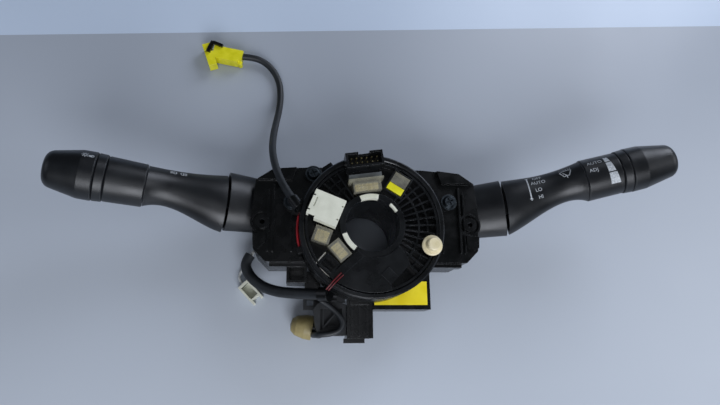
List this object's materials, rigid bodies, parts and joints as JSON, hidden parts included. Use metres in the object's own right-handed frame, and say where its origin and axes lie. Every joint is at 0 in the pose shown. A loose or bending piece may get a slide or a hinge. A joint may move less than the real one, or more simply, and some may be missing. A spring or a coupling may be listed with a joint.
{
  "type": "column combination switch with spiral cable and steering angle sensor",
  "caption": "Steering column switch with two stalks, a spiral cable and a steering angle sensor, with its leads laid out.",
  "frame": {"origin": "middle of the column bore at the rear face of the switch base", "axes": "+Z along the column towards the driver, +X across the car along the wiper stalk, +Y up"},
  "size_m": [0.4555, 0.2533, 0.088],
  "materials": {
    "black_moulding": "satin black glass-filled moulding",
    "grip_plastic": "fine spark-eroded matte charcoal",
    "ring_plastic": "matte charcoal, ribbed edge",
    "rotor_plastic": "semi-gloss black moulding",
    "white_plastic": "off-white moulding",
    "natural_plastic": "milky natural moulding",
    "ivory_plastic": "ivory moulding",
    "yellow_plastic": "yellow moulding",
    "grey_plastic": "grey moulding",
    "beige_plastic": "beige moulding",
    "gear_acetal": "natural acetal",
    "label_film": "plain yellow film",
    "board_laminate": "green circuit board",
    "zinc_steel": "bright zinc plate",
    "black_steel": "black passivated zinc plate",
    "cream_plastic": "cream moulding",
    "tin_brass": "tinned brass",
    "magnet_ferrite": "sintered ferrite",
    "ribbon_film": "polyester film with foil tracks",
    "black_vinyl": "soft black sleeve",
    "white_vinyl": "white wire insulation",
    "red_vinyl": "red wire insulation"
  },
  "bodies": {
    "base": {"switch_base": "black_moulding", "left_switch_case": "black_moulding", "right_switch_case": "black_moulding", "left_contact_board": "board_laminate", "right_contact_board": "board_laminate", "stator_case": "black_moulding", "stator_cover": "black_moulding", "flat_cable": "ribbon_film", "ring_screws": "black_steel", "sensor_case": "black_moulding", "sensor_cover": "black_moulding", "sensor_board": "board_laminate", "sensor_label": "label_film", "lower_connector": "black_moulding", "lock_tab": "black_moulding", "harness_bracket": "black_moulding", "beige_cap": "beige_plastic", "capped_plug": "black_moulding", "red_wires": "red_vinyl", "yellow_plug": "yellow_plastic", "yellow_latch": "black_moulding", "white_plug": "white_plastic", "long_lead": "black_vinyl", "black_sleeve": "black_vinyl", "white_plug_wires": "white_vinyl"},
    "rotor": {"rotor": "rotor_plastic", "cancel_cam": "white_plastic", "sector_cover": "rotor_plastic", "upper_connector": "rotor_plastic", "connector_pins": "tin_brass", "connector_bridge": "grey_plastic", "clear_connector_upper": "natural_plastic", "clear_connector_side": "natural_plastic", "clear_connector_lower": "natural_plastic", "connector_holders": "cream_plastic", "black_connector": "rotor_plastic", "lead_cover": "white_plastic", "pocket_block": "natural_plastic", "yellow_insert": "yellow_plastic", "hub_gear": "gear_acetal"},
    "lock_pin": {"lock_pin": "ivory_plastic"},
    "left_yoke": {"left_yoke": "natural_plastic", "left_hinge_pin": "zinc_steel", "left_shroud": "grip_plastic"},
    "left_lever": {"left_lever": "grip_plastic", "left_fixed_ring": "ring_plastic"},
    "fog_lamp_ring": {"fog_lamp_ring": "grip_plastic"},
    "light_knob": {"light_knob": "grip_plastic"},
    "right_yoke": {"right_yoke": "natural_plastic", "right_hinge_pin": "zinc_steel", "right_shroud": "grip_plastic"},
    "right_lever": {"right_lever": "grip_plastic", "right_fixed_ring": "ring_plastic", "right_end_cap": "grip_plastic"},
    "interval_ring": {"interval_ring": "grip_plastic"},
    "first_gear": {"first_measuring_gear": "gear_acetal", "first_magnet": "magnet_ferrite"},
    "second_gear": {"second_measuring_gear": "gear_acetal", "second_magnet": "magnet_ferrite"}
  },
  "joints": [
    {"name": "rotor_spin", "type": "hinge", "parent": "base", "child": "rotor", "pos_m": [0, 0, 0.05], "axis": [0, 0, 1], "range_deg": [-900, 900]},
    {"name": "lock_pin_pull", "type": "slide", "parent": "rotor", "child": "lock_pin", "axis": [0, 0, 1], "range_m": [0, 0.014]},
    {"name": "left_lever_swing", "type": "hinge", "parent": "base", "child": "left_yoke", "pos_m": [-0.06, 0.0225, 0.028], "axis": [0, 0, 1], "range_deg": [-12, 12]},
    {"name": "left_lever_flash", "type": "hinge", "parent": "left_yoke", "child": "left_lever", "pos_m": [-0.09199, 0.02418, 0.03315], "axis": [0.0523, 0.9986, 0], "range_deg": [-5, 5], "stiffness_Nm_per_rad": 6},
    {"name": "fog_lamp_turn", "type": "hinge", "parent": "left_lever", "child": "fog_lamp_ring", "pos_m": [-0.1585, 0.0303, 0.05347], "axis": [-0.9524, 0.0867, 0.2924], "range_deg": [-20, 20]},
    {"name": "light_knob_turn", "type": "hinge", "parent": "left_lever", "child": "light_knob", "pos_m": [-0.1585, 0.0303, 0.05347], "axis": [-0.9524, 0.0867, 0.2924], "range_deg": [0, 75]},
    {"name": "right_lever_swing", "type": "hinge", "parent": "base", "child": "right_yoke", "pos_m": [0.06, 0.0195, 0.028], "axis": [0, 0, 1], "range_deg": [-18, 7]},
    {"name": "right_lever_pull", "type": "hinge", "parent": "right_yoke", "child": "right_lever", "pos_m": [0.09191, 0.02229, 0.03315], "axis": [-0.0872, 0.9962, 0], "range_deg": [-6, 0], "stiffness_Nm_per_rad": 6},
    {"name": "interval_turn", "type": "hinge", "parent": "right_lever", "child": "interval_ring", "pos_m": [0.1675, 0.0418, 0.05622], "axis": [0.9371, 0.1907, 0.2924], "range_deg": [-30, 30]},
    {"name": "first_gear_spin", "type": "hinge", "parent": "base", "child": "first_gear", "pos_m": [0.03234, -0.01778, 0.0256], "axis": [0, 0, 1], "range_deg": [-2560, 2560]},
    {"name": "second_gear_spin", "type": "hinge", "parent": "base", "child": "second_gear", "pos_m": [0.01593, -0.03417, 0.0256], "axis": [0, 0, 1], "range_deg": [-2360, 2360]}
  ],
  "couplings": [
    {"joint": "first_gear_spin", "follows": "rotor_spin", "ratio": -2.8333},
    {"joint": "second_gear_spin", "follows": "rotor_spin", "ratio": -2.6154}
  ]
}
